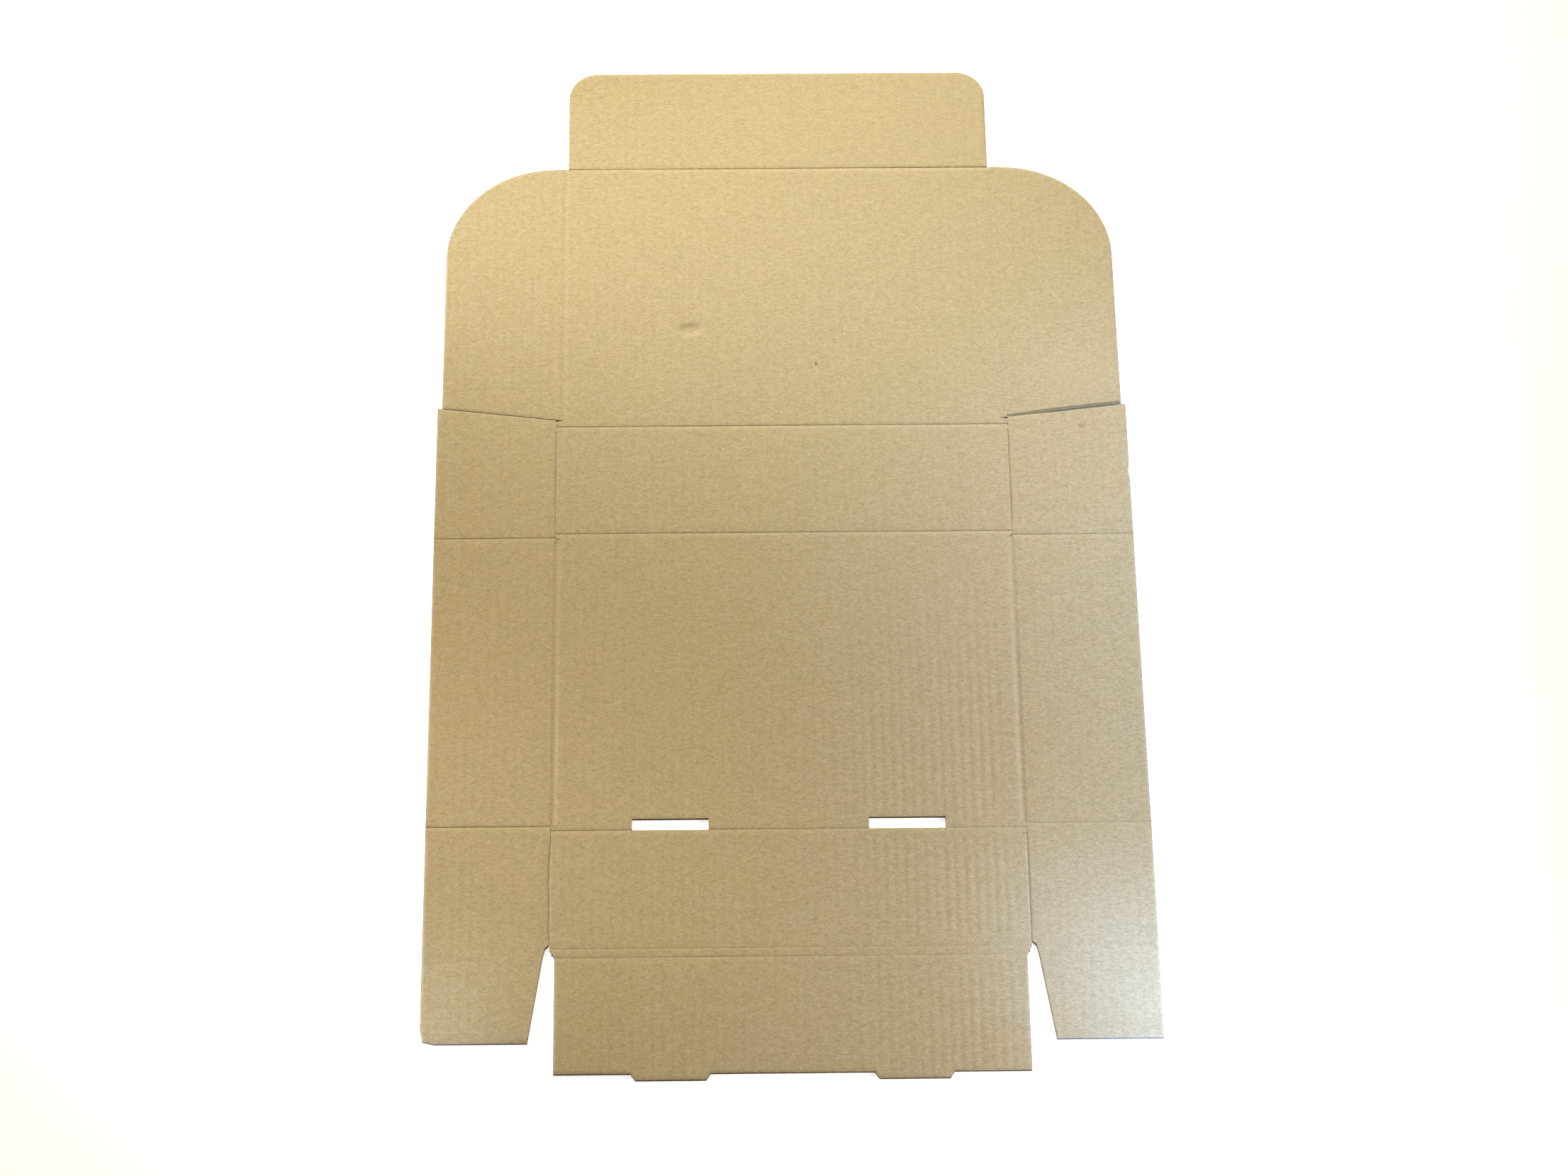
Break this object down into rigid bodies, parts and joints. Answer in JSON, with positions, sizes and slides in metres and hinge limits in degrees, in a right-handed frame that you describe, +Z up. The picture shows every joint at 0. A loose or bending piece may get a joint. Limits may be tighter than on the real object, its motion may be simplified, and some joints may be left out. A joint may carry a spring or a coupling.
{
  "type": "single wall cardboard box",
  "caption": "Flat die-cut blank of a corrugated mailing box: base, creased walls, hinged lid with wings and tuck flap, corner flaps, and a roll-over front that locks into slots in the base.",
  "frame": {"origin": "centre of the base panel, on the underside of the board", "axes": "+Y along the blank from the front to the lid and its tuck flap, +X to the right as seen from the front, +Z up out of the inside face"},
  "size_m": [0.4738, 0.7832, 0.0028],
  "materials": {
    "kraft_board": "matte, fluted kraft"
  },
  "bodies": {
    "base_panel": {"base_panel": "kraft_board"},
    "back_wall": {"back_wall": "kraft_board"},
    "lid_panel": {"lid_panel": "kraft_board"},
    "tuck_flap": {"tuck_flap": "kraft_board"},
    "lid_wing_left": {"lid_wing_left": "kraft_board"},
    "lid_wing_right": {"lid_wing_right": "kraft_board"},
    "side_wall_left": {"side_wall_left": "kraft_board"},
    "side_wall_right": {"side_wall_right": "kraft_board"},
    "rear_corner_flap_left": {"rear_corner_flap_left": "kraft_board"},
    "rear_corner_flap_right": {"rear_corner_flap_right": "kraft_board"},
    "front_corner_flap_left": {"front_corner_flap_left": "kraft_board"},
    "front_corner_flap_right": {"front_corner_flap_right": "kraft_board"},
    "front_wall": {"front_wall": "kraft_board"},
    "front_spine": {"front_spine": "kraft_board"},
    "rollover_flap": {"rollover_flap": "kraft_board"}
  },
  "joints": [
    {"name": "back_crease", "type": "hinge", "parent": "base_panel", "child": "back_wall", "pos_m": [0, 0.112, 0.0014], "axis": [1, 0, 0], "range_deg": [0, 90]},
    {"name": "lid_crease", "type": "hinge", "parent": "back_wall", "child": "lid_panel", "pos_m": [0, 0.197, 0.0014], "axis": [1, 0, 0], "range_deg": [0, 90]},
    {"name": "tuck_crease", "type": "hinge", "parent": "lid_panel", "child": "tuck_flap", "pos_m": [0, 0.4117, 0.0014], "axis": [1, 0, 0], "range_deg": [0, 90]},
    {"name": "wing_crease_left", "type": "hinge", "parent": "lid_panel", "child": "lid_wing_left", "pos_m": [-0.1505, 0.3, 0.0014], "axis": [0, 1, 0], "range_deg": [0, 90]},
    {"name": "wing_crease_right", "type": "hinge", "parent": "lid_panel", "child": "lid_wing_right", "pos_m": [0.1505, 0.3, 0.0014], "axis": [0, -1, 0], "range_deg": [0, 90]},
    {"name": "side_crease_left", "type": "hinge", "parent": "base_panel", "child": "side_wall_left", "pos_m": [-0.1536, 0, 0.0014], "axis": [0, 1, 0], "range_deg": [0, 90]},
    {"name": "side_crease_right", "type": "hinge", "parent": "base_panel", "child": "side_wall_right", "pos_m": [0.1536, 0, 0.0014], "axis": [0, -1, 0], "range_deg": [0, 90]},
    {"name": "rear_flap_crease_left", "type": "hinge", "parent": "side_wall_left", "child": "rear_corner_flap_left", "pos_m": [-0.195, 0.1089, 0.0014], "axis": [1, 0, 0], "range_deg": [0, 90]},
    {"name": "rear_flap_crease_right", "type": "hinge", "parent": "side_wall_right", "child": "rear_corner_flap_right", "pos_m": [0.195, 0.1089, 0.0014], "axis": [1, 0, 0], "range_deg": [0, 90]},
    {"name": "front_flap_crease_left", "type": "hinge", "parent": "side_wall_left", "child": "front_corner_flap_left", "pos_m": [-0.195, -0.1089, 0.0014], "axis": [-1, 0, 0], "range_deg": [0, 90]},
    {"name": "front_flap_crease_right", "type": "hinge", "parent": "side_wall_right", "child": "front_corner_flap_right", "pos_m": [0.195, -0.1089, 0.0014], "axis": [-1, 0, 0], "range_deg": [0, 90]},
    {"name": "front_crease", "type": "hinge", "parent": "base_panel", "child": "front_wall", "pos_m": [0, -0.112, 0.0014], "axis": [-1, 0, 0], "range_deg": [0, 90]},
    {"name": "spine_crease", "type": "hinge", "parent": "front_wall", "child": "front_spine", "pos_m": [0, -0.197, 0.0014], "axis": [-1, 0, 0], "range_deg": [0, 90]},
    {"name": "rollover_crease", "type": "hinge", "parent": "front_spine", "child": "rollover_flap", "pos_m": [0, -0.2032, 0.0014], "axis": [-1, 0, 0], "range_deg": [0, 90]}
  ]
}
